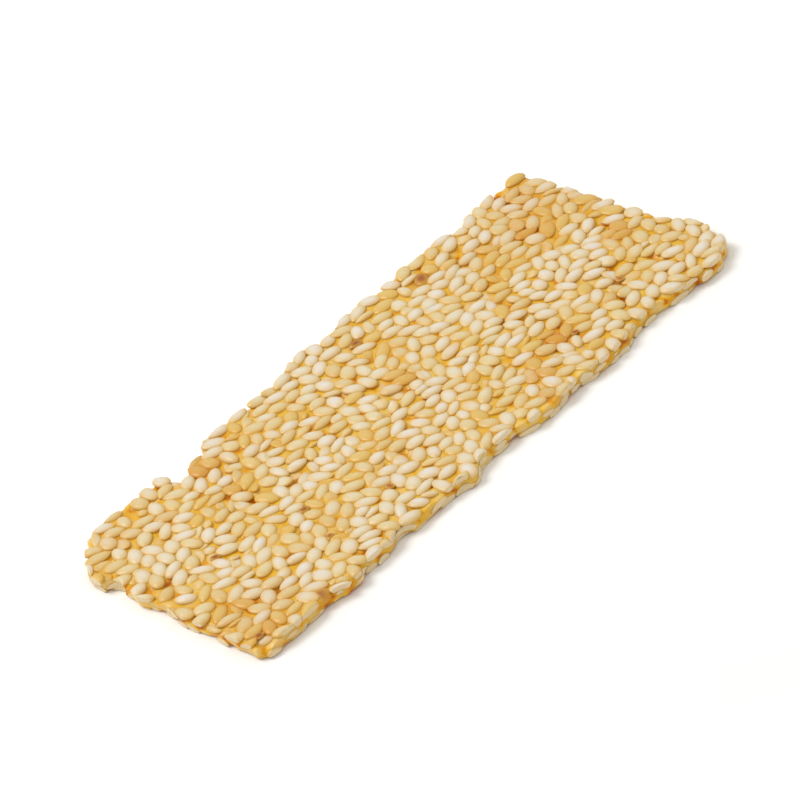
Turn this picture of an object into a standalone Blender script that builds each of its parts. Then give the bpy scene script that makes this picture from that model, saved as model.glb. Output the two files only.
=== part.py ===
"""Sesame brittle slab.

Toasted sesame seeds stirred into boiled sugar, rolled out thin and cut with a knife while warm.
It is one solid. Metres, +Z up. The long cut edges run along X, and the underside lies flat on Z = 0.
"""
import math

import bmesh
import bpy
from mathutils import Vector, noise

OBJECT_NAME = "sesame_brittle_slab"
NODE_NAME = "sesame_slab"

MM = 0.001

# The knife lines, given by where they cross at the four corners.
HALF_LENGTH_BACK = 49.1 * MM
HALF_LENGTH_FRONT = 49.8 * MM
BACK_Y = 21.8 * MM
FRONT_Y_NEAR = -20.6 * MM
FRONT_Y_FAR = -21.8 * MM

# Corner roundings, in the order near back, far back, far front, near front.
CORNER_CUTS = (9.4 * MM, 2.0 * MM, 4.6 * MM, 2.2 * MM)

# Where the warm slab tore a little away from the knife line: start and end along the side, then how
# far the edge stands out (+) or is broken away (-). Millimetres from the side's middle.
BACK_TABS = (
    (-43.6, -28.4, 0.9),
    (-27.6, -25.3, -3.5),
    (-25.3, -20.8, -1.6),
    (-0.6, 4.9, 0.9),
    (9.6, 17.4, 1.0),
    (21.6, 24.3, 1.2),
    (32.4, 36.6, -1.3),
)
FRONT_TABS = (
    (-34.4, -30.6, 1.0),
    (-23.0, -20.2, -1.0),
    (-9.0, -7.0, 1.1),
    (-5.4, 2.6, -0.7),
    (4.6, 12.4, 0.6),
    (16.8, 25.4, 0.7),
    (27.0, 34.0, -0.7),
    (40.0, 46.0, 0.9),
)
NEAR_TABS = (
    (9.2, 12.0, -1.7),
    (6.4, 9.2, -0.8),
    (-2.6, 2.8, -0.6),
)
FAR_TABS = (
    (-16.6, -10.4, 0.7),
    (7.6, 11.2, -0.4),
)
TAB_RAMP = 0.9 * MM

# Seeds standing along the cut leave shallow scallops about one seed long.
SCALLOP_DEPTH = 0.18 * MM
SCALLOP_PITCH = 2.6 * MM

THICKNESS = 2.25 * MM
ROLLED_WAVE = 0.10 * MM
ROLLED_WAVE_PITCH = 24.0 * MM
SEED_RELIEF = 0.13 * MM
SEED_RELIEF_PITCH = 2.3 * MM

# The cut edge in section, from the top rim down: how far in from the outline, and the share of the
# thickness it stands at.
EDGE_SECTION = (
    (0.10 * MM, 0.80),
    (0.00 * MM, 0.45),
    (0.06 * MM, 0.12),
    (0.22 * MM, 0.00),
)
RIM_INSET = 0.42 * MM

LENGTH_CELLS = 72
WIDTH_CELLS = 32
SIDE_SAMPLES = 700

SYRUP_COLOUR = (0.72, 0.44, 0.15, 1.0)
SYRUP_ROUGHNESS = 0.32


def clear_scene():
    """Remove every object that the new file starts with."""
    for item in list(bpy.data.objects):
        bpy.data.objects.remove(item, do_unlink=True)


def smooth_step(value):
    """Ease a value from 0 to 1."""
    value = min(max(value, 0.0), 1.0)
    return value * value * (3.0 - 2.0 * value)


def tab_height(place, tabs):
    """How far the edge stands out at a place along its side."""
    height = 0.0
    for start, end, rise in tabs:
        up = smooth_step((place - start * MM) / TAB_RAMP + 0.5)
        down = smooth_step((end * MM - place) / TAB_RAMP + 0.5)
        height += rise * MM * min(up, down)
    return height


def scallop(point):
    """The seed-sized unevenness of the cut at a point."""
    spot = Vector((point.x / SCALLOP_PITCH, point.y / SCALLOP_PITCH, 4.7))
    return SCALLOP_DEPTH * noise.noise(spot) * 2.0


def corner_arc(before, corner, after, size, share):
    """A point on the rounded corner, from share 0 on the side before to 1 on the side after."""
    start = corner + (before - corner).normalized() * size
    end = corner + (after - corner).normalized() * size
    first = start.lerp(corner, share)
    second = corner.lerp(end, share)
    return first.lerp(second, share)


def cut_side(corners, first, tabs, reverse):
    """The cut edge from the middle of one rounded corner to the middle of the next."""
    previous = corners[first - 1]
    here = corners[first]
    there = corners[(first + 1) % 4]
    following = corners[(first + 2) % 4]
    along = (there - here).normalized()
    middle = (here + there) * 0.5
    length = (there - here).length
    out_size = CORNER_CUTS[first]
    in_size = CORNER_CUTS[(first + 1) % 4]
    plain = []
    for step in range(SIDE_SAMPLES + 1):
        travel = length * step / SIDE_SAMPLES
        if travel < out_size:
            share = 0.5 + 0.5 * travel / out_size
            plain.append(corner_arc(previous, here, there, out_size, share))
        elif travel > length - in_size:
            share = 0.5 * (travel - length + in_size) / in_size
            plain.append(corner_arc(here, there, following, in_size, share))
        else:
            plain.append(here + along * travel)
    torn = []
    for index, point in enumerate(plain):
        ahead = plain[min(index + 1, SIDE_SAMPLES)]
        behind = plain[max(index - 1, 0)]
        tangent = (ahead - behind).normalized()
        outward = Vector((-tangent.y, tangent.x))
        place = (point - middle).dot(along)
        if reverse:
            place = -place
        torn.append(point + outward * (tab_height(place, tabs) + scallop(point)))
    return torn


def even_steps(points, cells):
    """Sample a curve at equal steps along its length."""
    travelled = [0.0]
    for first, second in zip(points, points[1:]):
        travelled.append(travelled[-1] + (second - first).length)
    result = []
    index = 0
    for step in range(cells + 1):
        target = travelled[-1] * step / cells
        while index < len(points) - 2 and travelled[index + 1] < target:
            index += 1
        span = travelled[index + 1] - travelled[index]
        share = (target - travelled[index]) / span
        result.append(points[index].lerp(points[index + 1], min(max(share, 0.0), 1.0)))
    return result


def cut_outline():
    """The four cut edges, clockwise from the near back corner, moved so that the slab is centred."""
    corners = (
        Vector((-HALF_LENGTH_BACK, BACK_Y)),
        Vector((HALF_LENGTH_BACK, BACK_Y)),
        Vector((HALF_LENGTH_FRONT, FRONT_Y_FAR)),
        Vector((-HALF_LENGTH_FRONT, FRONT_Y_NEAR)),
    )
    back = even_steps(cut_side(corners, 0, BACK_TABS, False), LENGTH_CELLS)
    far = even_steps(cut_side(corners, 1, FAR_TABS, True), WIDTH_CELLS)
    front = even_steps(cut_side(corners, 2, FRONT_TABS, True), LENGTH_CELLS)
    near = even_steps(cut_side(corners, 3, NEAR_TABS, False), WIDTH_CELLS)
    ring = back[:-1] + far[:-1] + front[:-1] + near[:-1]
    xs = [point.x for point in ring]
    ys = [point.y for point in ring]
    centre = Vector(((min(xs) + max(xs)) * 0.5, (min(ys) + max(ys)) * 0.5))
    return [point - centre for point in ring]


def inset_ring(ring, distance):
    """The outline moved inwards by one distance all round."""
    count = len(ring)
    moved = []
    for index, point in enumerate(ring):
        tangent = (ring[(index + 1) % count] - ring[index - 1]).normalized()
        inward = Vector((tangent.y, -tangent.x))
        moved.append(point + inward * distance)
    return moved


def patch_point(back, front, near, far, column, row):
    """A point of the grid stretched between the four sides."""
    across = column / LENGTH_CELLS
    up = row / WIDTH_CELLS
    between_long = front[column].lerp(back[column], up)
    between_short = near[row].lerp(far[row], across)
    low = front[0].lerp(front[-1], across)
    high = back[0].lerp(back[-1], across)
    return between_long + between_short - low.lerp(high, up)


def top_height(point):
    """The height of the rolled top: a slow wave, and the seeds pressed into it."""
    slow = Vector((point.x / ROLLED_WAVE_PITCH, point.y / ROLLED_WAVE_PITCH, 1.3))
    quick = Vector((point.x / SEED_RELIEF_PITCH, point.y / SEED_RELIEF_PITCH, 8.1))
    return THICKNESS + ROLLED_WAVE * noise.noise(slow) * 2.0 + SEED_RELIEF * noise.noise(quick) * 2.0


def rolled_sheet(body, rim):
    """A grid primitive stretched out to the rim, each vertex lifted to the rolled top."""
    far_start = LENGTH_CELLS
    front_start = far_start + WIDTH_CELLS
    near_start = front_start + LENGTH_CELLS
    back = rim[:far_start + 1]
    far = list(reversed(rim[far_start:front_start + 1]))
    front = list(reversed(rim[front_start:near_start + 1]))
    near = rim[near_start:] + rim[:1]
    made = bmesh.ops.create_grid(body, x_segments=LENGTH_CELLS, y_segments=WIDTH_CELLS, size=0.5)
    places = {}
    for vert in made["verts"]:
        column = round((vert.co.x + 0.5) * LENGTH_CELLS)
        row = round((vert.co.y + 0.5) * WIDTH_CELLS)
        point = patch_point(back, front, near, far, column, row)
        vert.co = (point.x, point.y, top_height(point))
        if row == WIDTH_CELLS:
            places[vert] = column
        elif column == LENGTH_CELLS:
            places[vert] = front_start - row
        elif row == 0:
            places[vert] = near_start - column
        elif column == 0:
            places[vert] = near_start + row
    return places


def lower_rim(body, places, ring, share, outline):
    """Draw the open rim down to the next line of the cut edge's section."""
    open_edges = [edge for edge in body.edges if edge.is_boundary]
    drawn = bmesh.ops.extrude_edge_only(body, edges=open_edges)["geom"]
    lowered = {}
    for vert in drawn:
        if isinstance(vert, bmesh.types.BMVert):
            above = next(edge.other_vert(vert) for edge in vert.link_edges
                         if edge.other_vert(vert) in places)
            lowered[vert] = places[above]
    for vert, place in lowered.items():
        point = ring[place]
        vert.co = (point.x, point.y, top_height(outline[place]) * share)
    return lowered


def build_slab():
    """One closed body: the seeded top, the cut edge and the flat underside."""
    outline = cut_outline()
    body = bmesh.new()
    places = rolled_sheet(body, inset_ring(outline, RIM_INSET))
    for inset, share in EDGE_SECTION:
        places = lower_rim(body, places, inset_ring(outline, inset), share, outline)
    underside = [edge for edge in body.edges if edge.is_boundary]
    bmesh.ops.contextual_create(body, geom=underside)
    bmesh.ops.recalc_face_normals(body, faces=body.faces)
    mesh = bpy.data.meshes.new(NODE_NAME)
    body.to_mesh(mesh)
    body.free()
    for face in mesh.polygons:
        face.use_smooth = len(face.vertices) == 4
    return mesh


def syrup_material():
    """Boiled sugar and toasted seed, as one plain colour for the solid."""
    material = bpy.data.materials.new(NODE_NAME)
    material.use_nodes = True
    shader = material.node_tree.nodes["Principled BSDF"]
    shader.inputs["Base Color"].default_value = SYRUP_COLOUR
    shader.inputs["Roughness"].default_value = SYRUP_ROUGHNESS
    shader.inputs["Metallic"].default_value = 0.0
    return material


def main():
    """Build the slab in a collection named for it."""
    clear_scene()
    collection = bpy.data.collections.new(OBJECT_NAME)
    bpy.context.scene.collection.children.link(collection)
    mesh = build_slab()
    mesh.materials.append(syrup_material())
    slab = bpy.data.objects.new(NODE_NAME, mesh)
    slab.location = (0.0, 0.0, 0.0)
    slab.rotation_euler = (0.0, 0.0, 0.0)
    collection.objects.link(slab)
    size = [round(value / MM, 2) for value in slab.dimensions]
    area = math.fsum(face.area for face in mesh.polygons)
    print(NODE_NAME, "millimetres", size, "area cm2", round(area * 1e4, 1))


main()
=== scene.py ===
# %% [markdown]
# # A slab of sesame brittle
# The real thing is two simple stuffs: toasted sesame seeds and boiled sugar. The seeds are stirred
# into the hot syrup, the mass is rolled out thin between two sheets, and it is cut with a knife
# while it is still warm. This lesson makes it in the same order. It packs real seed shapes between
# two plates, lets syrup fill the gaps between them, cuts the edge, and only then mixes colours.

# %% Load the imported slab
import math

import bpy
import numpy as np
from mathutils import Matrix, Vector


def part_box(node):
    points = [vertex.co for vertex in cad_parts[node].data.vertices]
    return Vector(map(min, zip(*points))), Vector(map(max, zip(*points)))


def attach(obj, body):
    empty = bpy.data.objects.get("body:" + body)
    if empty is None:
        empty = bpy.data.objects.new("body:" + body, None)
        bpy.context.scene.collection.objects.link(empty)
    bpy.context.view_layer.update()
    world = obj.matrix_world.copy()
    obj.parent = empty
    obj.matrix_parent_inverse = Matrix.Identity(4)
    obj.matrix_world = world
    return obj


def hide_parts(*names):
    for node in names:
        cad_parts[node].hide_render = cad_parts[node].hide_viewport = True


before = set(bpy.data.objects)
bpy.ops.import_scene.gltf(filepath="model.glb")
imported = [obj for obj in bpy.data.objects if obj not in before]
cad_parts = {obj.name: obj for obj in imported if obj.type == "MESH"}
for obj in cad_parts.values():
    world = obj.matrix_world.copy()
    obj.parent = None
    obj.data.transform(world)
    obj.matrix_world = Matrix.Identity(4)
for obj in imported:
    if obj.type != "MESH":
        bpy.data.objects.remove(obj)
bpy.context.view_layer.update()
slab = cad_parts["sesame_slab"]
low_corner, high_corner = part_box("sesame_slab")
MM = 0.001
print("solid slab, mm:", [round((b - a) / MM, 2) for a, b in zip(low_corner, high_corner)])

# %% [markdown]
# ## The knife line
# Everything here has to stop where the knife went. The solid slab already has that line round its
# underside, so it is read from there and not drawn again. The underside's triangles are found, each
# edge that only one of them uses is on the rim, and the rim edges are chained into one loop. The
# solid's foot is a little inside its widest line, so the loop is then moved out by that much.

# %% Read the rim of the underside
FOOT_INSET = 0.22


def welded_triangles(mesh):
    """The mesh's triangles over points that neighbouring faces share."""
    mesh.calc_loop_triangles()
    places = np.empty(len(mesh.vertices) * 3, np.float32)
    mesh.vertices.foreach_get("co", places)
    corners = np.empty(len(mesh.loop_triangles) * 3, np.int32)
    mesh.loop_triangles.foreach_get("vertices", corners)
    rounded = np.round(places.reshape(-1, 3).astype(float) * 1e7)
    points, shared = np.unique(rounded, axis=0, return_inverse=True)
    return points / 1e7 / MM, shared.ravel()[corners].reshape(-1, 3)


def underside_loop(points, triangles):
    """The rim of the flat underside, as one loop of points in order."""
    flat = triangles[points[triangles][:, :, 2].max(1) < 1e-3]
    edges = np.concatenate([flat[:, [0, 1]], flat[:, [1, 2]], flat[:, [2, 0]]])
    _, first, uses = np.unique(np.sort(edges, 1), axis=0, return_index=True, return_counts=True)
    following = {int(a): int(b) for a, b in edges[first[uses == 1]]}
    start = min(following)
    loop = [start]
    while following[loop[-1]] != start:
        loop.append(following[loop[-1]])
    return points[loop][:, :2]


def counter_clockwise(loop):
    """The same loop, turned to run counter-clockwise."""
    after = np.roll(loop, -1, 0)
    area = 0.5 * np.sum(loop[:, 0] * after[:, 1] - after[:, 0] * loop[:, 1])
    return loop if area > 0 else loop[::-1]


foot = counter_clockwise(underside_loop(*welded_triangles(slab.data)))
along = np.roll(foot, -1, 0) - np.roll(foot, 1, 0)
along /= np.linalg.norm(along, axis=1)[:, None]
knife_line = foot + np.stack([along[:, 1], -along[:, 0]], 1) * FOOT_INSET
print("knife line:", len(knife_line), "points, mm", np.ptp(knife_line, axis=0).round(2))

# %% [markdown]
# ## How far inside the cut
# Many steps ask one question: how far is this spot from the cut, and on which side? It is answered
# once, on a fine grid over the slab, and looked up after that. The slope of the same grid points
# straight away from the nearest bit of cut, which is the way to push anything that strays outside.

# %% Make the distance grid
GRID = 0.25
GRID_MARGIN = 4.0
grid_low = knife_line.min(0) - GRID_MARGIN
grid_high = knife_line.max(0) + GRID_MARGIN


def distance_inside(px, py, loop):
    """Distance to the loop for each spot, positive inside it."""
    nearest = np.full(px.shape, np.inf)
    inside = np.zeros(px.shape, bool)
    for (ax, ay), (bx, by) in zip(loop, np.roll(loop, -1, 0)):
        dx, dy = bx - ax, by - ay
        share = np.clip(((px - ax) * dx + (py - ay) * dy) / (dx * dx + dy * dy), 0, 1)
        gap = (px - ax - share * dx) ** 2 + (py - ay - share * dy) ** 2
        np.minimum(nearest, gap, out=nearest)
        if dy != 0:
            inside ^= ((ay > py) != (by > py)) & (px < dx * (py - ay) / dy + ax)
    return np.where(inside, 1.0, -1.0) * np.sqrt(nearest)


def read_grid(values, x, y):
    """A value of the grid between its points."""
    across = np.clip((x - grid_low[0]) / GRID, 0, values.shape[0] - 1.001)
    up = np.clip((y - grid_low[1]) / GRID, 0, values.shape[1] - 1.001)
    i, j = across.astype(int), up.astype(int)
    fi, fj = across - i, up - j
    near = values[i, j] * (1 - fi) + values[i + 1, j] * fi
    far = values[i, j + 1] * (1 - fi) + values[i + 1, j + 1] * fi
    return near * (1 - fj) + far * fj


grid_x, grid_y = np.meshgrid(
    np.arange(grid_low[0], grid_high[0] + GRID, GRID),
    np.arange(grid_low[1], grid_high[1] + GRID, GRID),
    indexing="ij",
)
inside_cut = distance_inside(grid_x, grid_y, knife_line)
inward_x, inward_y = np.gradient(inside_cut, GRID)
print("distance grid:", inside_cut.shape, "deepest spot", round(float(inside_cut.max()), 1), "mm in")

# %% [markdown]
# ## Burnt crumbs
# In every pan a few crumbs of broken seed burn brown. They are stirred in with the seeds, so they
# are listed first and packed along with them. The rolling moves each one a little.

# %% List the burnt crumbs
# Each row: x, y and radius in mm, and how strongly it browns the sugar round it, at most 1.
CRUMBS = np.array([
    (22.6, 16.5, 1.7, 1.0), (7.1, 15.8, 1.2, 0.7), (-24.8, -3.4, 1.0, 0.7), (-38.7, 0.8, 0.9, 0.6),
    (-15.2, -12.3, 0.9, 0.7), (-28.2, -12.7, 0.8, 0.6), (36.0, -11.8, 0.8, 0.6),
    (-48.2, -17.3, 0.9, 0.5), (22.8, -14.3, 0.7, 0.6),
])
CRUMB_SHAPE = (1.9, 1.35, 0.6)
CRUMB_DEPTH = 0.3
crumb_count = len(CRUMBS)
print(crumb_count, "crumbs, the biggest", round(2 * float(CRUMBS[:, 2].max()), 1), "mm across")

# %% [markdown]
# ## The seeds
# A hulled sesame seed is a flat teardrop 3 to 4 mm long, over 2 mm wide and 1 mm thick, and no two
# are the same. Their number isn't guessed: it follows from how much of the slab's volume is seed.
# They start spread evenly, by a sequence that leaves no bare patch and no crowd, nearly flat, and are
# then stirred a little.

# %% Choose the seeds and where they start
rng = np.random.default_rng(11)
ROLLED_HEIGHT = 2.38
BEYOND_CUT = 2.6
SEED_SHARE = 0.74
SEED_FULLNESS = 0.50
MOST_SEEDS = 4000
STIRRED = 0.9
FACE_MARGIN = 0.45
EVEN_RATIO = 1.2207440846

drawn = rng.normal(size=(MOST_SEEDS, 3))
lengths = np.clip(3.68 + 0.27 * drawn[:, 0], 3.05, 4.20)
widths = np.clip(2.34 + 0.20 * drawn[:, 1], 1.85, 2.80)
depths = np.clip(0.95 + 0.07 * drawn[:, 2], 0.78, 1.12)
room = np.sum(inside_cut > -BEYOND_CUT) * GRID * GRID * ROLLED_HEIGHT
volumes = SEED_FULLNESS * lengths * widths * depths
seed_count = int(np.searchsorted(np.cumsum(volumes), room * SEED_SHARE))
seed_size = np.stack([lengths, widths, depths], 1)[:seed_count]


def even_spots(count, reach):
    """Spots spread evenly through the slab and a little past its cut, then stirred."""
    number = np.arange(1, 8 * count)[:, None]
    shares = (number / EVEN_RATIO ** np.arange(1, 4)) % 1.0
    spots = np.empty_like(shares)
    spots[:, :2] = grid_low + shares[:, :2] * (grid_high - grid_low)
    spots[:, 2] = FACE_MARGIN + rng.random(len(spots)) * (ROLLED_HEIGHT - 2 * FACE_MARGIN)
    spots = spots[read_grid(inside_cut, spots[:, 0], spots[:, 1]) > -reach][:count]
    spots[:, :2] += rng.normal(0, STIRRED, (len(spots), 2))
    return spots


centres = even_spots(seed_count, BEYOND_CUT - 0.6)
print(len(centres), "seeds fill", SEED_SHARE, "of", round(float(room)), "cubic mm")
crumb_centres = np.column_stack([CRUMBS[:, :2], np.full(crumb_count, ROLLED_HEIGHT - CRUMB_DEPTH)])
centres = np.concatenate([centres, crumb_centres])
seed_size = np.concatenate([seed_size, CRUMBS[:, 2:3] * CRUMB_SHAPE])
seed_count += crumb_count

# %% [markdown]
# ## A seed as a handful of balls
# Two smooth teardrops are awkward to keep apart, but two balls are easy: they touch when their
# centres are closer than their radii together. So while they are being packed, each seed is ten
# small balls in a teardrop, fixed to one another. The pointed end has the small ones.

# %% Lay out the balls of each seed
# Each row: how far along the length, how far across the half width, and size against the half depth.
BALLS = np.array([
    (0.36, 0.00, 0.93), (0.22, 0.78, 0.93), (0.22, -0.78, 0.93), (0.02, 1.00, 0.97),
    (0.02, -1.00, 0.97), (0.02, 0.00, 1.00), (-0.17, 0.74, 0.93), (-0.17, -0.74, 0.93),
    (-0.30, 0.00, 0.85), (-0.41, 0.00, 0.60),
])
ball_count = len(BALLS)
ball_sizes = seed_size[:, 2, None] / 2 * BALLS[None, :, 2]
ball_places = np.zeros((seed_count, ball_count, 3))
ball_places[:, :, 0] = BALLS[:, 0] * seed_size[:, 0, None]
ball_places[:, :, 1] = BALLS[:, 1] * (seed_size[:, 1, None] / 2 - ball_sizes)
ball_middle = ball_places.mean(1, keepdims=True)
ball_places -= ball_middle
ball_owner = np.repeat(np.arange(seed_count), ball_count)


def turns_from(spin, tilt, roll):
    """Turning matrices: roll about the length, tilt the length up, then spin it round."""
    (cs, ss), (ct, st), (cr, sr) = [(np.cos(a), np.sin(a)) for a in (spin, tilt, roll)]
    rows = [
        [cs * ct, cs * st * sr - ss * cr, cs * st * cr + ss * sr],
        [ss * ct, ss * st * sr + cs * cr, ss * st * cr - cs * sr],
        [-st, ct * sr, ct * cr],
    ]
    return np.stack([np.stack(row, -1) for row in rows], -2)


def placed(centre, turn, points):
    """Points of each seed's own frame, carried to where the seed lies."""
    return centre[:, None, :] + np.einsum("nij,nkj->nki", turn, points)


FIRST_TILT = math.radians(15)
FIRST_ROLL = math.radians(17)
turns = turns_from(
    rng.random(seed_count) * 2 * math.pi,
    rng.normal(0, FIRST_TILT, seed_count),
    rng.normal(0, FIRST_ROLL, seed_count),
)
print(seed_count * ball_count, "balls")

# %% [markdown]
# ## Which balls are near each other
# Comparing each ball with every other would take hours. Instead the slab is divided into small
# boxes, the balls are sorted by box, and each is compared only with its own box and the ones that
# touch it. Half of the neighbouring boxes are enough, because the other half finds the same pairs.

# %% Find the pairs
PAIR_REACH = 1.3
NEIGHBOURS = [(0, 0, 0)] + [
    (i, j, k) for i in (-1, 0, 1) for j in (-1, 0, 1) for k in (-1, 0, 1) if (i, j, k) > (0, 0, 0)
]


def near_pairs(points, reach):
    """Pairs of balls of different seeds whose centres are within reach."""
    box = np.floor((points - points.min(0)) / reach).astype(np.int64) + 1
    span = box.max(0) + 2
    key = (box[:, 0] * span[1] + box[:, 1]) * span[2] + box[:, 2]
    order = np.argsort(key, kind="stable")
    key, points, owner = key[order], points[order], ball_owner[order]
    every = np.arange(len(key))
    firsts, seconds = [], []
    for i, j, k in NEIGHBOURS:
        step = (i * span[1] + j) * span[2] + k
        stop = np.searchsorted(key, key + step, "right")
        start = every + 1 if step == 0 else np.searchsorted(key, key + step, "left")
        count = stop - start
        a = np.repeat(every, count)
        b = np.repeat(start - np.cumsum(count) + count, count) + np.arange(count.sum())
        apart = points[a] - points[b]
        close = (owner[a] != owner[b]) & ((apart * apart).sum(1) < reach * reach)
        firsts.append(order[a[close]])
        seconds.append(order[b[close]])
    return np.concatenate(firsts), np.concatenate(seconds)


first_balls = placed(centres, turns, ball_places).reshape(-1, 3)
print("pairs within", PAIR_REACH, "mm:", len(near_pairs(first_balls, PAIR_REACH)[0]))

# %% [markdown]
# ## Rolling the mass out
# The seeds start small, so that none overlap, and grow to full size over many small steps. At each
# step balls that overlap push each other apart, the two plates and the rim push back whatever pokes
# through, and each seed shifts and twists by the average of what its balls were told. A little
# flattening at each step is the rolling pin: it lays most seeds on their broad sides and leaves a
# few standing, as in real brittle. The outer seeds also stick to the sheets above and below them,
# which draws them out into two flat, close layers. Blender's own rigid bodies could do this too, but
# with two thousand seeds this short loop is much quicker, and it comes out the same each time.

# %% Pack the seeds
PACK_STEPS = 240
GROWN_AT = 0.55
SMALLEST = 0.45
FLATTENING = 0.07
PUSH = 1.4
TWIST = 1.6
STICKING = 0.010
STUCK_BEYOND = 0.30
LID_STIFFNESS = 0.6
FLATTEN_UNTIL = 0.8
PAIRS_EVERY = 8


def turned_by(twist, turn):
    """The turning matrices after a small further turn about each twist vector."""
    angle = np.sqrt((twist * twist).sum(1)) + 1e-12
    axis = twist / angle[:, None]
    c, s = np.cos(angle)[:, None], np.sin(angle)[:, None]
    columns = []
    for k in range(3):
        v = turn[:, :, k]
        along_axis = (axis * v).sum(1, keepdims=True) * axis
        columns.append(v * c + np.cross(axis, v) * s + along_axis * (1 - c))
    first = columns[0] / np.sqrt((columns[0] ** 2).sum(1, keepdims=True))
    second = columns[1] - (columns[1] * first).sum(1, keepdims=True) * first
    second /= np.sqrt((second ** 2).sum(1, keepdims=True))
    return np.stack([first, second, np.cross(first, second)], 2)


def pushes(points, sizes, pairs):
    """How far each ball is told to move by the balls, the plates and the rim that it overlaps."""
    a, b = pairs
    apart = points[a] - points[b]
    gap = np.sqrt((apart * apart).sum(1)) + 1e-9
    overlap = sizes[a] + sizes[b] - gap
    hit = overlap > 0
    a, b = a[hit], b[hit]
    half = apart[hit] * (0.5 * overlap[hit] / gap[hit])[:, None]
    total = len(points)
    touches = np.bincount(a, minlength=total) + np.bincount(b, minlength=total)
    move = np.stack([
        np.bincount(a, half[:, k], total) - np.bincount(b, half[:, k], total) for k in range(3)
    ], 1) * (PUSH / np.maximum(touches, 1))[:, None]
    moved = points + move
    move[:, 2] += np.maximum(sizes - moved[:, 2], 0)
    move[:, 2] -= np.maximum(moved[:, 2] + sizes - ROLLED_HEIGHT, 0) * LID_STIFFNESS
    beyond = np.minimum(read_grid(inside_cut, moved[:, 0], moved[:, 1]) + BEYOND_CUT - sizes, 0)
    move[:, 0] -= beyond * read_grid(inward_x, moved[:, 0], moved[:, 1])
    move[:, 1] -= beyond * read_grid(inward_y, moved[:, 0], moved[:, 1])
    return move, float(overlap[hit].mean()) if hit.any() else 0.0


for step in range(PACK_STEPS):
    growth = min(1.0, SMALLEST + (1 - SMALLEST) * step / (PACK_STEPS * GROWN_AT))
    balls = placed(centres, turns, ball_places * growth)
    if step % PAIRS_EVERY == 0:
        pairs = near_pairs(balls.reshape(-1, 3), PAIR_REACH)
    move, overlap = pushes(balls.reshape(-1, 3), (ball_sizes * growth).ravel(), pairs)
    move = move.reshape(balls.shape)
    arms = balls - centres[:, None, :]
    shift = move.mean(1)
    turning = np.cross(arms, move - shift[:, None, :]).sum(1)
    twist = TWIST * turning / (arms ** 2).sum((1, 2))[:, None]
    if step < FLATTEN_UNTIL * PACK_STEPS:
        face = turns[:, :, 2] * np.sign(turns[:, 2, 2])[:, None]
        twist += FLATTENING * np.cross(face, (0.0, 0.0, 1.0))
    turns = turned_by(twist, turns)
    off_middle = centres[:, 2] - ROLLED_HEIGHT / 2
    shift[:, 2] += np.where(np.abs(off_middle) > STUCK_BEYOND, STICKING * np.sign(off_middle), 0)
    centres = centres + shift
    if step % 60 == 59:
        print("step", step + 1, "overlap", round(overlap, 3), "mm")
centres = centres - np.einsum("nij,nj->ni", turns, ball_middle[:, 0])
lean = np.degrees(np.arccos(np.abs(turns[:, 2, 2])))
print("seeds lean, degrees:", round(float(lean.mean())), "on average, one in ten over",
      round(float(np.percentile(lean, 90))))

# %% [markdown]
# ## The shape of one seed
# Along its length a seed is round at one end and drawn to a point at the other. One profile gives
# its half width and, flattened a little, its half depth. The same profile says later whether a spot
# of syrup is inside a seed, so that seeds and syrup agree.

# %% Define the seed's profile
TIP_SHARPNESS = 0.62
END_ROUNDNESS = 0.50
PROFILE_PEAK = 0.99
DEPTH_BLUNTNESS = 0.80


def half_width(place):
    """The seed's half width from its point at -1 to its round end at 1, at most about 1."""
    tip = np.clip(1 + place, 0, None) ** TIP_SHARPNESS
    return PROFILE_PEAK * tip * np.clip(1 - place, 0, None) ** END_ROUNDNESS


def half_depth(place):
    """The seed's half depth, which stays full nearer to both ends."""
    return half_width(place) ** DEPTH_BLUNTNESS


KEPT_BEYOND = 0.80
inside_by = read_grid(inside_cut, centres[:, 0], centres[:, 1])
kept = inside_by > -KEPT_BEYOND
centres, turns, seed_size, inside_by = centres[kept], turns[kept], seed_size[kept], inside_by[kept]
seed_count = len(centres)
print(seed_count, "seeds are in the slab or near its edge")

# %% [markdown]
# ## Toasted places
# No pan heats evenly. In a few places the sugar caught and is amber, and it is brown right round a
# burnt crumb. The places are listed once, and both the seeds and the syrup take their colour from
# the same list. The syrup is also not the same everywhere: patches a few seeds across came out drier
# and whiter than others.

# %% List the toasted places
# Each row: x, y, radius in mm and strength, at most 1.
AMBER_SPOTS = np.array([
    (20.3, -12.4, 2.3, 1.0), (38.0, 10.4, 2.4, 0.8), (32.6, 12.2, 1.7, 0.5), (-46.2, -17.6, 2.0, 0.7),
    (13.2, -15.5, 2.5, 0.55), (10.2, -20.4, 1.8, 0.6), (-41.2, 18.0, 2.0, 0.5),
    (-24.4, 17.6, 1.8, 0.8), (44.4, 17.2, 2.8, 0.5), (43.6, -3.8, 2.2, 0.7), (-26.2, 8.8, 1.4, 0.7),
    (-43.4, -10.6, 1.9, 0.6), (3.4, 3.8, 2.4, 0.5), (27.6, 14.6, 1.8, 0.5), (-35.2, 14.2, 1.4, 0.5),
    (-45.0, -14.0, 7.0, 0.25), (43.0, 13.0, 8.0, 0.28), (31.0, 11.0, 5.0, 0.20),
    (-20.0, 14.0, 6.0, 0.15),
])

# The drier and wetter patches: how far apart they are in mm, how strong, and which waves make them.
PATCH_WAVES = ((6.0, 0.52, 5), (19.0, 0.28, 3))
PATCH_CONTRAST = 0.62


def spot_strength(points, spots):
    """How strongly the nearest spot colours each point, from 0 to 1."""
    strength = np.zeros(len(points))
    for x, y, radius, most in spots:
        gap = (points[:, 0] - x) ** 2 + (points[:, 1] - y) ** 2
        strength = np.maximum(strength, most * np.exp(-((gap / radius ** 2) ** 1.5)))
    return strength


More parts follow.
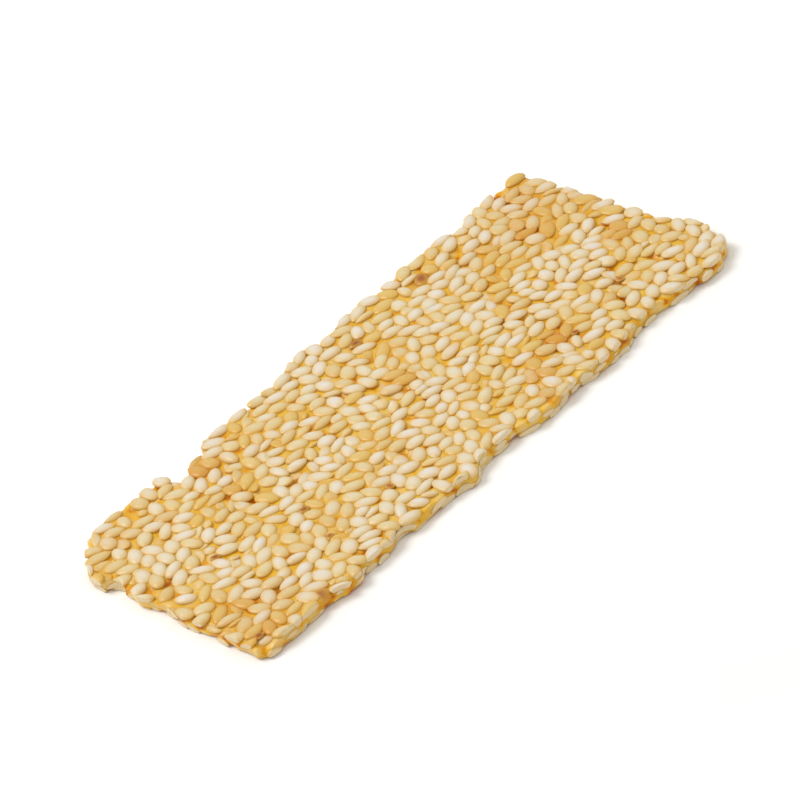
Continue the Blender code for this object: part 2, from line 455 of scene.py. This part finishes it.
def slow_waves(x, y, pitch, seed):
    """A smooth wandering value over the slab, about -1 to 1, that repeats nowhere near by."""
    chance = np.random.default_rng(seed)
    value = np.zeros(np.shape(x))
    for _ in range(7):
        heading = chance.random() * math.pi
        wave = 2 * math.pi / (pitch * (0.7 + 0.9 * chance.random()))
        phase = chance.random() * 2 * math.pi
        value += np.sin((x * math.cos(heading) + y * math.sin(heading)) * wave + phase)
    return value / 3.2


def syrup_share(x, y):
    """How syrupy each place is, from 0 where the seeds came out dry to 1 where they swim."""
    patches = sum(depth * slow_waves(x, y, pitch, seed) for pitch, depth, seed in PATCH_WAVES)
    return np.clip(0.5 + PATCH_CONTRAST * patches, 0, 1)


brown_spots = np.column_stack([centres[-crumb_count:, :2], CRUMBS[:, 2:]])
print("crumbs moved", np.hypot(*(brown_spots[:, :2] - CRUMBS[:, :2]).T).round(1), "mm")

# %% [markdown]
# ## Where there is seed
# Syrup fills what the seeds leave, so the next thing needed is a map of the seeds in the round:
# a block of small cubes over the slab, each holding how much of it is seed. Each seed only fills in
# the few cubes round its own middle.

# %% Fill the block of cubes
CUBE = 0.33
WINDOW = 6
block_low = np.array([*(knife_line.min(0) - 1.2), -1.0])
block_high = np.array([*(knife_line.max(0) + 1.2), 3.6])
block_shape = np.ceil((block_high - block_low) / CUBE).astype(int) + 1


def fill_block():
    """How much of each cube is seed, from 0 to 1."""
    block = np.zeros(block_shape, np.float32)
    side = np.arange(-WINDOW, WINDOW + 1)
    window = np.stack(np.meshgrid(side, side, side, indexing="ij"), -1).reshape(-1, 3)
    for first in range(0, seed_count, 256):
        part = slice(first, min(first + 256, seed_count))
        half = seed_size[part, None, :] / 2
        cubes = np.round((centres[part] - block_low) / CUBE).astype(int)[:, None, :] + window
        fits = ((cubes >= 0) & (cubes < block_shape)).all(2)
        away = cubes * CUBE + block_low - centres[part, None, :]
        own = np.einsum("nij,nki->nkj", turns[part], away)
        place = np.clip(own[:, :, 0] / half[:, :, 0], -1, 1)
        wide = half[:, :, 1] * half_width(place) + 1e-6
        deep = half[:, :, 2] * half_depth(place) + 1e-6
        ratio = np.sqrt((own[:, :, 1] / wide) ** 2 + (own[:, :, 2] / deep) ** 2)
        past_end = np.maximum(np.abs(own[:, :, 0]) - half[:, :, 0], 0)
        under_skin = np.maximum((1 - ratio) * deep, -3) - 3 * past_end
        share = np.clip(0.5 + under_skin / CUBE, 0, 1) * fits
        hit = share > 0.01
        cubes = np.clip(cubes, 0, block_shape - 1)
        flat = (cubes[:, :, 0] * block_shape[1] + cubes[:, :, 1]) * block_shape[2] + cubes[:, :, 2]
        np.maximum.at(block.reshape(-1), flat[hit], share[hit].astype(np.float32))
    return block


def read_block(block, points):
    """A value of the block between its cubes."""
    spot = np.clip((points - block_low) / CUBE, 0, block_shape - 1.001)
    whole = spot.astype(int)
    part = spot - whole
    found = 0.0
    for i in (0, 1):
        for j in (0, 1):
            for k in (0, 1):
                weight = (part[:, 0] if i else 1 - part[:, 0])
                weight = weight * (part[:, 1] if j else 1 - part[:, 1])
                weight = weight * (part[:, 2] if k else 1 - part[:, 2])
                found = found + weight * block[whole[:, 0] + i, whole[:, 1] + j, whole[:, 2] + k]
    return found


seed_block = fill_block()
print("cubes:", block_shape, "seed in", round(float(seed_block.sum()) * CUBE ** 3), "cubic mm")

# %% [markdown]
# ## How syrup lies between seeds
# Two things hold the hot syrup in place. It lies like a pool, up to a little below the tops of the
# seeds, and it is drawn up into the narrow gaps between them. A blurred map of the seeds stands for
# the second: close seeds add up, a lone top fades. Add how far each spot lies below the pool's
# level, and everything above a chosen sum is syrup. The pool's level follows the seeds' tops, and
# wanders from place to place, because no pan is stirred evenly.

# %% Blur the block and set the pool's level
SYRUP_REACH = 0.42
SYRUP_SUM = 0.37
POOL_BELOW_TOPS = 0.44
POOL_DRIFT = 0.36
POOL_WEIGHT = 0.30
POOL_SOFTNESS = 0.50
SIDE_SUM = 0.54
SIDE_INSET = 0.06
BOARD_GAP = 0.12
TOPS_SMOOTHED = 1.6
TOP_LAYER = 0.75


def blurred(block, reach, axes=(0, 1, 2)):
    """The block blurred by a bell curve of that reach in mm."""
    radius = int(3 * reach / CUBE) + 1
    for axis in axes:
        result = np.zeros_like(block)
        total = sum(math.exp(-0.5 * (k * CUBE / reach) ** 2) for k in range(-radius, radius + 1))
        for k in range(-radius, radius + 1):
            weight = math.exp(-0.5 * (k * CUBE / reach) ** 2) / total
            size = block.shape[axis]
            source, target = [slice(None)] * block.ndim, [slice(None)] * block.ndim
            source[axis] = slice(max(k, 0), size + min(k, 0))
            target[axis] = slice(max(-k, 0), size + min(-k, 0))
            result[tuple(target)] += weight * block[tuple(source)]
        block = result
    return block


def tops_of_seeds():
    """The height of the seeds' tops over the slab, smoothed over a few seeds."""
    height = np.where(seed_block > 0.5, cube_z + CUBE * (seed_block - 0.5), 0).max(2)
    found = (height > 0).astype(float)
    share = np.maximum(blurred(found, TOPS_SMOOTHED, (0, 1)), 1e-3)
    return blurred(height, TOPS_SMOOTHED, (0, 1)) / share


cube_x, cube_y, cube_z = [block_low[k] + CUBE * np.arange(block_shape[k]) for k in range(3)]
plan_x, plan_y = np.meshgrid(cube_x, cube_y, indexing="ij")
crowding = blurred(seed_block, SYRUP_REACH)
tops = tops_of_seeds()
pool = tops - POOL_BELOW_TOPS + POOL_DRIFT * (syrup_share(plan_x, plan_y) - 0.5)
below_pool = np.clip((pool[:, :, None] - cube_z) / POOL_SOFTNESS, -3, 3)
from_cut = read_grid(inside_cut, plan_x, plan_y)[:, :, None]
syrup_block = crowding + POOL_WEIGHT * below_pool - SYRUP_SUM
syrup_block = np.minimum(syrup_block, crowding + from_cut - SIDE_SUM)
syrup_block = np.minimum(syrup_block, (from_cut - SIDE_INSET) * 0.8)
syrup_block = np.minimum(syrup_block, (cube_z - BOARD_GAP) * 2.0)
inside = from_cut[:, :, 0] > 1
print("seed tops, mm:", np.percentile(tops[inside], (5, 50, 95)).round(2))
top_cover = (seed_block[:, :, cube_z > ROLLED_HEIGHT - TOP_LAYER] > 0.5).any(2)
print("seeds of the top layer cover", round(100 * float(top_cover[inside].mean())), "percent")
print("pool level, mm:", np.percentile(pool[inside], (5, 50, 95)).round(2))
print("syrup and seed fill", round(float((syrup_block > 0).sum()) * CUBE ** 3), "cubic mm")

# %% [markdown]
# ## From a block of numbers to a skin
# The syrup's surface runs where the block's value crosses nought. A surface net finds it: each cube
# that the surface passes through gets one point, at the average of where the surface crosses the
# cube's edges, and each crossed edge gives one four-sided face between the four cubes round it. The
# result is closed and smooth, with all the hollows and bridges that syrup makes.

# %% Skin the syrup
def surface_net(block):
    """The points and four-sided faces of the surface where the block crosses nought."""
    full = np.array(block.shape)
    cells = full - 1
    total = np.zeros((*cells, 3))
    crossings = np.zeros(cells)
    corners = []
    for axis in range(3):
        u, v = [(1, 2), (2, 0), (0, 1)][axis]
        near, far = [slice(None)] * 3, [slice(None)] * 3
        near[axis], far[axis] = slice(0, -1), slice(1, None)
        a, b = block[tuple(near)], block[tuple(far)]
        crossed = (a > 0) != (b > 0)
        share = np.where(crossed, a / np.where(crossed, a - b, 1), 0)
        for i in (0, 1):
            for j in (0, 1):
                part = [slice(None)] * 3
                part[u], part[v] = slice(i, i + cells[u]), slice(j, j + cells[v])
                here = crossed[tuple(part)]
                crossings += here
                total[..., axis] += share[tuple(part)]
                total[..., u] += here * i
                total[..., v] += here * j
        at = np.argwhere(crossed)
        at = at[(at[:, u] > 0) & (at[:, v] > 0) & (at[:, u] < cells[u]) & (at[:, v] < cells[v])]
        corners.append((at, u, v, a[tuple(at.T)] > 0))
    used = crossings > 0
    number = np.full(cells, -1)
    number[used] = np.arange(used.sum())
    points = np.argwhere(used) + total[used] / crossings[used][:, None]
    faces = []
    for at, u, v, outward in corners:
        ring = []
        for i, j in ((1, 1), (0, 1), (0, 0), (1, 0)):
            cell = at.copy()
            cell[:, u] -= i
            cell[:, v] -= j
            ring.append(number[tuple(cell.T)])
        quads = np.stack(ring, 1)
        faces.append(np.where(outward[:, None], quads, quads[:, ::-1]))
    return points * CUBE + block_low, np.concatenate(faces)


def new_piece(name, points, faces):
    """A smooth-shaded mesh object from points in mm."""
    mesh = bpy.data.meshes.new(name)
    mesh.vertices.add(len(points))
    mesh.vertices.foreach_set("co", (points * MM).astype(np.float32).ravel())
    mesh.loops.add(faces.size)
    mesh.loops.foreach_set("vertex_index", faces.astype(np.int32).ravel())
    mesh.polygons.add(len(faces))
    starts = np.arange(0, faces.size, faces.shape[1], dtype=np.int32)
    mesh.polygons.foreach_set("loop_start", starts)
    mesh.polygons.foreach_set("use_smooth", np.ones(len(faces), bool))
    mesh.update()
    mesh.validate()
    piece = bpy.data.objects.new(name, mesh)
    bpy.context.scene.collection.objects.link(piece)
    return piece


def give_value(mesh, name, values):
    """Store one number for each point of the mesh, for its material to read."""
    mesh.attributes.new(name, "FLOAT", "POINT").data.foreach_set("value", values.astype(np.float32))


syrup_points, syrup_faces = surface_net(syrup_block)
syrup = new_piece("boiled_sugar", syrup_points, syrup_faces)
print("syrup:", len(syrup_faces) * 2, "triangles, up to", syrup_points[:, 2].max().round(2), "mm high")

# %% [markdown]
# ## How deep the syrup looks
# Clear syrup is pale over a seed and a deeper amber where it is thick, and over a hole between seeds
# it is painted dark with shade. From each point of the surface the depth is measured inwards until a
# seed stops it, and stored on the mesh. The toasted places and the syrupy patches are stored beside
# it.

# %% Measure the syrup's depth and the toasted places
DEPTH_STEP = 0.11
DEPTH_STEPS = 12
SEED_BLOCKS = 0.8


def depth_to_seed(points, inward):
    """How much syrup a line of sight crosses before a seed stops it, in mm."""
    depth = np.zeros(len(points))
    clear = np.ones(len(points))
    for step in range(1, DEPTH_STEPS + 1):
        seed_share = np.clip(read_block(seed_block, points + inward * step * DEPTH_STEP), 0, 1)
        clear = clear * (1 - SEED_BLOCKS * seed_share)
        depth += DEPTH_STEP * clear
    return depth


outward = np.empty(len(syrup_points) * 3, np.float32)
syrup.data.vertices.foreach_get("normal", outward)
syrup_depth = depth_to_seed(syrup_points, -outward.reshape(-1, 3))
give_value(syrup.data, "depth", syrup_depth)
give_value(syrup.data, "brown", spot_strength(syrup_points, brown_spots))
give_value(syrup.data, "amber", spot_strength(syrup_points, AMBER_SPOTS))
give_value(syrup.data, "syrupy", syrup_share(syrup_points[:, 0], syrup_points[:, 1]))
print("syrup depth, mm:", np.percentile(syrup_depth, (5, 50, 95)).round(2))

# %% [markdown]
# ## The seeds' meshes
# One seed is a stack of rings from point to round end. It is made once, stretched to each seed's own
# size, bent a little, and carried to where the seed lies. The knife then passes: whatever stands
# past the cut is pushed back onto it, which leaves a flat face on a cut seed. Real cuts waver, so
# each seed has its own small allowance, and a few that the blade pushed aside stay whole. A seed
# with little left after the cut is a sliver, and falls off.

# %% Make every seed
AROUND = 14
RINGS = 9
MOST_CUT_WAVER = 0.11
WHOLE_SHARE = 0.05
SLIVER_SHARE = 0.38
WHOLE_IF_INSIDE = 0.9
BEND, SWEEP, BELLY = 0.055, 0.05, 0.10


def unit_seed():
    """The points and triangles of a seed whose half sizes are all 1."""
    place = -np.cos(math.pi * np.arange(1, RINGS + 1) / (RINGS + 1))
    angle = 2 * math.pi * np.arange(AROUND) / AROUND
    rings = np.stack([
        np.repeat(place, AROUND),
        np.outer(half_width(place), np.cos(angle)).ravel(),
        np.outer(half_depth(place), np.sin(angle)).ravel(),
    ], 1)
    points = np.vstack([(-1, 0, 0), rings, (1, 0, 0)])
    last = len(points) - 1
    faces = []
    for i in range(AROUND):
        following = (i + 1) % AROUND
        faces.append((0, 1 + i, 1 + following))
        top = 1 + (RINGS - 1) * AROUND
        faces.append((last, top + following, top + i))
        for ring in range(RINGS - 1):
            a = 1 + ring * AROUND
            faces.append((a + i, a + AROUND + i, a + AROUND + following))
            faces.append((a + i, a + AROUND + following, a + following))
    return points, np.array(faces)


def volume_of_each(points):
    """The volume that each seed's skin holds."""
    a, b, c = [points[:, seed_faces[:, k]] for k in range(3)]
    return np.einsum("nfk,nfk->n", a, np.cross(b, c)) / 6


seed_points, seed_faces = unit_seed()
unevenness = np.array([BEND, SWEEP, BELLY])[:, None, None]
bend, sweep, belly = rng.normal(0, 1, (3, seed_count, 1)) * unevenness
shaped = seed_points[None] * seed_size[:, None, :] / 2
shaped[:, :, 2] *= 1 + belly * np.sign(seed_points[:, 2])
shaped[:, :, 2] += bend * (seed_points[:, 0] ** 2 - 0.33)
shaped[:, :, 1] += sweep * (seed_points[:, 0] ** 2 - 0.33)
all_points = placed(centres, turns, shaped)
waver = np.clip(rng.normal(0.08, 1, seed_count) * MOST_CUT_WAVER, -0.3, 0.28)
waver[(rng.random(seed_count) < WHOLE_SHARE) & (inside_by > WHOLE_IF_INSIDE)] = 1.0
at_x, at_y = all_points[:, :, 0].copy(), all_points[:, :, 1].copy()
past = np.minimum(read_grid(inside_cut, at_x, at_y) + waver[:, None], 0)
all_points[:, :, 0] -= past * read_grid(inward_x, at_x, at_y)
all_points[:, :, 1] -= past * read_grid(inward_y, at_x, at_y)
all_points[:, :, 2] = np.maximum(all_points[:, :, 2], 0.0)
sliver = volume_of_each(all_points) / volume_of_each(shaped) < SLIVER_SHARE
print(seed_count, "seeds of", len(seed_faces), "triangles;", int((past.min(1) < -0.05).sum()),
      "cut by the knife,", int(sliver.sum()), "slivers fall off")

# %% [markdown]
# ## Pale, honey and toasted seeds
# In one pan the seeds come out in four kinds: pale ones that the syrup ran off, honey and golden
# ones with a thicker coat of it, and a few that toasted brown. Each kind is one mesh. A seed's kind
# follows from how deep it sits and how syrupy its patch is, with some luck mixed in.

# %% Sort the seeds into kinds
PALE_SHARE = 0.36
GOLDEN_SHARE = 0.25
ABOVE_MIDDLE = 0.45
BY_DEPTH, BY_LUCK, BY_PATCH, BY_AMBER = 0.24, 0.28, 0.48, 0.6
sunken = read_block(crowding, centres + np.array([0.0, 0.0, ABOVE_MIDDLE]))
seed_brown = spot_strength(centres, brown_spots)
seed_amber = spot_strength(centres, AMBER_SPOTS)
luck = rng.random(seed_count)
toasted = (seed_brown > 0.75) | (luck > 0.998)
toasted[-crumb_count:] = True
seed_wet = syrup_share(centres[:, 0], centres[:, 1])


def rank(values):
    """Each value's place in the order, from 0 to 1."""
    return np.argsort(np.argsort(values)) / len(values)


syrupy = rank(
    BY_DEPTH * rank(sunken) + BY_LUCK * luck + BY_PATCH * rank(seed_wet) + BY_AMBER * seed_amber
)
pale, golden = syrupy < PALE_SHARE, syrupy >= 1 - GOLDEN_SHARE
kinds = {
    "seeds_pale": np.flatnonzero(~toasted & ~sliver & pale),
    "seeds_honey": np.flatnonzero(~toasted & ~sliver & ~pale & ~golden),
    "seeds_golden": np.flatnonzero(~toasted & ~sliver & golden),
    "seeds_toasted": np.flatnonzero(toasted & ~sliver),
}
print({name: len(members) for name, members in kinds.items()})

# %% [markdown]
# ## A map for the seeds' colours
# Each seed's colours can be laid on a flat picture through this map. A seed is
# small, so each gets its own tile: its upper half on the left of the tile, its lower half on the
# right, both seen straight on. Nothing overlaps, and each seed has the same share of the picture.

# %% Build a mesh for each kind
MAP_NAME = "OFBake"
TILE_EDGE = 0.04
TILE_REACH = 1.05
# How near each point is to the seed's edge, where the material paints shade.
along_sq, across_sq = seed_points[:, 0] ** 2, seed_points[:, 1] ** 2
edge_shade_share = np.sqrt(along_sq + across_sq * (1 - along_sq))


def tile_map(mesh, count):
    """Lay the seeds of one mesh out in tiles, upper and lower halves side by side."""
    columns = max(1, math.ceil(math.sqrt(count)))
    upper = seed_points[seed_faces][:, :, 2].mean(1) >= 0
    corner = seed_points[seed_faces].reshape(-1, 3)
    side = np.repeat(upper, 3)
    v, u = np.clip((corner[:, :2].T + TILE_REACH) / (2 * TILE_REACH), TILE_EDGE, 1 - TILE_EDGE)
    u = u * 0.5 + np.where(side, 0.0, 0.5)
    tile = np.arange(count)
    across = (tile % columns)[:, None] + u[None]
    up = (tile // columns)[:, None] + v[None]
    layer = mesh.uv_layers.new(name=MAP_NAME)
    places = np.stack([across, up], -1) / columns
    layer.data.foreach_set("uv", places.astype(np.float32).ravel())


def seed_piece(name, members):
    """One mesh of all the seeds of a kind, with what their material reads."""
    count, each = len(members), len(seed_points)
    faces = seed_faces[None] + (np.arange(count) * each)[:, None, None]
    points = all_points[members].reshape(-1, 3)
    piece = new_piece(name, points, faces.reshape(-1, 3))
    mesh = piece.data
    give_value(mesh, "coat", read_block(syrup_block, points))
    give_value(mesh, "tone", np.repeat(luck[members] * 7.31 % 1.0, each))
    give_value(mesh, "syrupy", np.repeat(seed_wet[members], each))
    give_value(mesh, "cut", -past[members].ravel())
    give_value(mesh, "tip", np.tile(seed_points[:, 0], count))
    # The seed's edge, where its material paints shade.
    give_value(mesh, "rim", np.tile(edge_shade_share, count))
    give_value(mesh, "amber", np.repeat(seed_amber[members], each))
    tile_map(mesh, count)
    print(name, count, "seeds,", len(mesh.polygons), "triangles")
    return piece


seed_pieces = {name: seed_piece(name, members) for name, members in kinds.items()}

# %% [markdown]
# ## Colours by name
# A material is a chain of small boxes called nodes. A few helpers keep that chain readable: each
# adds one kind of node, such as a colour ramp, a mix of two colours, a noise or a bump.

# %% Helpers for materials
def screen_colour(red, green, blue):
    """A colour written 0 to 255 as on a screen, turned into light."""
    shares = [part / 255 for part in (red, green, blue)]
    light = [s / 12.92 if s <= 0.04045 else ((s + 0.055) / 1.055) ** 2.4 for s in shares]
    return (*light, 1.0)


class Recipe:
    """A material being put together, node by node."""

    def __init__(self, name):
        self.material = bpy.data.materials.new(name)
        self.material.use_nodes = True
        self.tree = self.material.node_tree
        self.shader = self.tree.nodes["Principled BSDF"]

    def add(self, kind, links=(), **settings):
        """Add a node; links maps its sockets to outputs, or to plain values."""
        node = self.tree.nodes.new("ShaderNode" + kind)
        for key, value in settings.items():
            setattr(node, key, value)
        for socket, source in dict(links).items():
            if isinstance(source, bpy.types.NodeSocket):
                self.tree.links.new(source, node.inputs[socket])
            else:
                node.inputs[socket].default_value = source
        return node

    def value(self, name):
        """A number stored on the mesh."""
        return self.add("Attribute", attribute_name=name).outputs["Fac"]

    def spread(self, source, low, high, to_low=0.0, to_high=1.0):
        """Stretch one range of numbers onto another, and stop at its ends."""
        links = {0: source, 1: low, 2: high, 3: to_low, 4: to_high}
        return self.add("MapRange", links).outputs[0]

    def ramp(self, source, *stops):
        """A colour for each number; each stop is a place and a screen colour."""
        node = self.add("ValToRGB", {0: source})
        colours = node.color_ramp.elements
        for index, (place, colour) in enumerate(stops):
            stop = colours[index] if index < 2 else colours.new(place)
            stop.position, stop.color = place, screen_colour(*colour)
        return node.outputs[0]

    def mix(self, share, first, second, how="MIX"):
        """Mix two colours; a plain colour may stand for either."""
        links = {0: share, 6: first, 7: second}
        return self.add("Mix", links, data_type="RGBA", blend_type=how).outputs[2]

    def noise(self, size_mm, detail=2.0, place=None):
        """Smooth noise whose lumps are about that many mm across."""
        links = {"Scale": 1 / (size_mm * MM), "Detail": detail}
        if place is not None:
            links["Vector"] = place
        return self.add("TexNoise", links).outputs[0]

    def bump(self, height, depth_mm, over=None):
        """Tilt the light as if the surface rose by that many mm."""
        links = {"Height": height, "Distance": depth_mm * MM, "Strength": 1.0}
        if over is not None:
            links["Normal"] = over
        return self.add("Bump", links).outputs[0]

    def finish(self, colour, roughness, normal, **plain):
        """Join the chain to the shader and set its plain values."""
        self.tree.links.new(colour, self.shader.inputs["Base Color"])
        self.tree.links.new(roughness, self.shader.inputs["Roughness"])
        self.tree.links.new(normal, self.shader.inputs["Normal"])
        for socket, value in plain.items():
            self.shader.inputs[socket.replace("_", " ")].default_value = value
        return self.material


print("helpers ready")

# %% [markdown]
# ## Boiled sugar
# Syrup boiled for brittle is clear gold. Over a seed it only warms the seed's cream; in a gap, where
# light goes deep and comes back, it is orange, and the deepest holes are painted brown for the shade
# in them. So its colour is read from the depth measured above. It sets glossy, with slow ripples from
# cooling.

# %% Mix the syrup's material
FILM = (227, 194, 120)
THIN = (227, 181, 56)
THICK = (222, 154, 14)
# Painted shade: the deepest syrup, in the holes between seeds, is brown partly for its own amber and
# partly for the shade there.
DEEP_AMBER_AND_SHADE = (190, 108, 2)
WET_TINT = (240, 216, 150)
AMBER_TINT = (232, 176, 88)
BURNT = (168, 94, 20)


def syrup_material():
    """Glossy golden sugar that darkens with depth, into painted shade in the deepest holes."""
    make = Recipe("boiled_sugar")
    where = make.add("TexCoord").outputs["Object"]
    drift = make.noise(9.0, 2.0, where)
    shifted = {0: make.value("depth"), 1: make.spread(drift, 0.3, 0.7, -0.04, 0.04)}
    depth = make.add("Math", shifted, operation="ADD").outputs[0]
    # The ramp paints shade: deeper syrup runs from pale film to brown in the holes.
    colour = make.ramp(depth, (0.03, FILM), (0.60, DEEP_AMBER_AND_SHADE), (0.13, THIN), (0.30, THICK))
    wet = make.spread(make.value("syrupy"), 0.3, 1.0, 0.0, 0.55)
    colour = make.mix(wet, colour, screen_colour(*WET_TINT), "MULTIPLY")
    colour = make.mix(make.value("amber"), colour, screen_colour(*AMBER_TINT), "MULTIPLY")
    colour = make.mix(make.value("brown"), colour, screen_colour(*BURNT))
    roughness = make.spread(make.noise(2.5, 2.0, where), 0.3, 0.7, 0.14, 0.30)
    ripple = make.bump(make.noise(1.6, 2.0, where), 0.10)
    return make.finish(
        colour, roughness, ripple,
        Coat_Weight=0.08, Coat_Roughness=0.06, IOR=1.49, Specular_IOR_Level=0.18,
        Subsurface_Weight=0.35, Subsurface_Radius=(1.0, 0.5, 0.18), Subsurface_Scale=0.9 * MM,
    )


syrup.data.materials.append(syrup_material())
print("syrup runs from", FILM, "to", DEEP_AMBER_AND_SHADE)

# %% [markdown]
# ## Sesame
# A hulled seed is creamy white, paler than the syrup round it, with a warmer pointed tip. Where it
# goes down into the syrup its flank turns golden, every seed's edge is painted a darker gold for the
# shade of the gap beside it, and where the knife cut it its pale inside shows.
# No two are the same white. The skin is matt and finely grained, but a thin film of sugar puts a
# soft shine on top, which is what a clear coat is for.

# %% Mix the seeds' materials
# Each row: dull and bright tone, how golden a sunken seed turns, and roughness.
SEED_LOOKS = {
    "seeds_pale": ((216, 204, 176), (219, 212, 202), 0.7, 0.36),
    "seeds_honey": ((214, 196, 150), (217, 205, 174), 0.9, 0.30),
    "seeds_golden": ((214, 186, 112), (218, 199, 142), 1.0, 0.28),
    "seeds_toasted": ((146, 80, 18), (172, 104, 34), 0.6, 0.34),
}

TIP = (196, 160, 104)
# Painted shade: the darker gold mixed onto every seed's edge.
SHADED_FLANK = (217, 173, 72)
SUNK = (219, 168, 62)
SEED_WET_TINT = (244, 222, 166)
SEED_AMBER_TINT = (240, 198, 112)
CUT_FACE = (224, 205, 168)


def seed_material(name, dull, bright, gold_share, gloss):
    """Cream seed skin, golden where it meets the syrup, with painted shade round its edge."""
    make = Recipe(name)
    where = make.add("TexCoord").outputs["Object"]
    middle = tuple((a + b) / 2 for a, b in zip(dull, bright))
    colour = make.ramp(make.value("tone"), (0.0, dull), (1.0, bright), (0.55, middle))
    mottled = make.spread(make.noise(0.8, 3.0, where), 0.35, 0.7, 0.0, 0.5)
    colour = make.mix(mottled, colour, screen_colour(*dull))
    tip = make.spread(make.value("tip"), -0.6, -1.0, 0.0, 0.45)
    colour = make.mix(tip, colour, screen_colour(*TIP))
    # Painted shade: towards its edge each seed turns a darker gold, for the shade of the gap round it.
    rim = make.spread(make.value("rim"), 0.32, 1.0, 0.0, 0.80)
    colour = make.mix(rim, colour, screen_colour(*SHADED_FLANK))
    sunk = make.spread(make.value("coat"), -0.24, -0.02, 0.0, gold_share)
    colour = make.mix(sunk, colour, screen_colour(*SUNK))
    wet = make.spread(make.value("syrupy"), 0.45, 1.0, 0.0, 0.60)
    colour = make.mix(wet, colour, screen_colour(*SEED_WET_TINT), "MULTIPLY")
    colour = make.mix(make.value("amber"), colour, screen_colour(*SEED_AMBER_TINT), "MULTIPLY")
    cut = make.spread(make.value("cut"), 0.04, 0.22, 0.0, 0.75)
    colour = make.mix(cut, colour, screen_colour(*CUT_FACE))
    roughness = make.spread(make.noise(0.6, 2.0, where), 0.3, 0.7, gloss - 0.06, gloss + 0.12)
    grain = make.bump(make.noise(0.35, 3.0, where), 0.03)
    return make.finish(
        colour, roughness, grain,
        Coat_Weight=0.15, Coat_Roughness=0.12, IOR=1.47, Specular_IOR_Level=0.28,
        Subsurface_Weight=0.25, Subsurface_Radius=(1.0, 0.75, 0.45), Subsurface_Scale=0.6 * MM,
    )


for name, piece in seed_pieces.items():
    piece.data.materials.append(seed_material(name, *SEED_LOOKS[name]))
print("materials:", [piece.data.materials[0].name for piece in seed_pieces.values()])

# %% [markdown]
# ## Join the pieces to the slab
# The solid slab carries the weight and the outline. These pieces are its looks: they ride on its one
# body, and the syrup, which is the sheet itself, takes the solid's place in the picture.

# %% Hand the pieces over
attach(syrup, "root")
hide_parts("sesame_slab")
for piece in seed_pieces.values():
    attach(piece, "root")
pieces = (syrup, *seed_pieces.values())
triangles = sum(len(face.vertices) - 2 for piece in pieces for face in piece.data.polygons)
print("pieces:", len(pieces), "triangles in all:", triangles)

# %% [markdown]
# ## A pale table and soft light
# Food looks best in soft daylight. A big pale dome fills the shadows, and one wide lamp, high at the
# back and to the left, gives every seed a small bright side and a short shadow.

# %% Set the floor and the light
bpy.ops.mesh.primitive_plane_add(size=6)
floor = bpy.context.object
floor.name = "floor"
table = Recipe("pale_table")
table_noise = table.noise(40.0, 2.0, table.add("TexCoord").outputs["Object"])
floor.data.materials.append(table.finish(
    table.ramp(table_noise, (0.3, (243, 243, 242)), (0.7, (248, 248, 247))),
    table.spread(table_noise, 0.3, 0.7, 0.60, 0.70),
    table.bump(table_noise, 0.01),
))

scene = bpy.context.scene
scene.view_settings.view_transform = "Standard"
scene.world = bpy.data.worlds.new("soft_dome")
scene.world.use_nodes = True
dome = scene.world.node_tree.nodes["Background"]
dome.inputs["Color"].default_value = (1.0, 0.99, 0.97, 1.0)
dome.inputs["Strength"].default_value = 0.78


def soft_lamp(name, place, size, power):
    """A square lamp that looks at the slab."""
    lamp = bpy.data.lights.new(name, "AREA")
    lamp.size, lamp.energy = size, power
    holder = bpy.data.objects.new(name, lamp)
    holder.location = place
    holder.rotation_euler = (-Vector(place)).to_track_quat("-Z", "Y").to_euler()
    scene.collection.objects.link(holder)


soft_lamp("window", (-0.25, 0.45, 0.75), 0.45, 4.4)
print("dome strength", dome.inputs["Strength"].default_value)

# %% [markdown]
# ## The camera
# A long lens from well away keeps the slab's long sides nearly parallel. The camera looks down at
# about 35 degrees and is rolled, so that the slab runs from low on the left to high on the right.

# %% Place the camera
LENS = 278.8
ROLL = -19.485
AIM = Vector((-0.2, -0.06, 2.3))
EYE = Vector((-415.6, -591.86, 504.0))

camera_data = bpy.data.cameras.new("camera")
camera_data.lens = LENS
camera_data.sensor_width = 36
camera_data.clip_end = 20
camera = bpy.data.objects.new("camera", camera_data)
scene.collection.objects.link(camera)
forward = (AIM - EYE).normalized()
level_right = forward.cross(Vector((0, 0, 1))).normalized()
level_up = level_right.cross(forward)
roll = math.radians(ROLL)
right = level_right * math.cos(roll) + level_up * math.sin(roll)
up = level_up * math.cos(roll) - level_right * math.sin(roll)
pose = Matrix((right, up, -forward)).transposed().to_4x4()
pose.translation = EYE * MM
camera.matrix_world = pose
scene.camera = camera
looking_down = round(math.degrees(math.asin(-forward.z)), 1)
print("camera", round((AIM - EYE).length), "mm away, looking down", looking_down, "degrees")
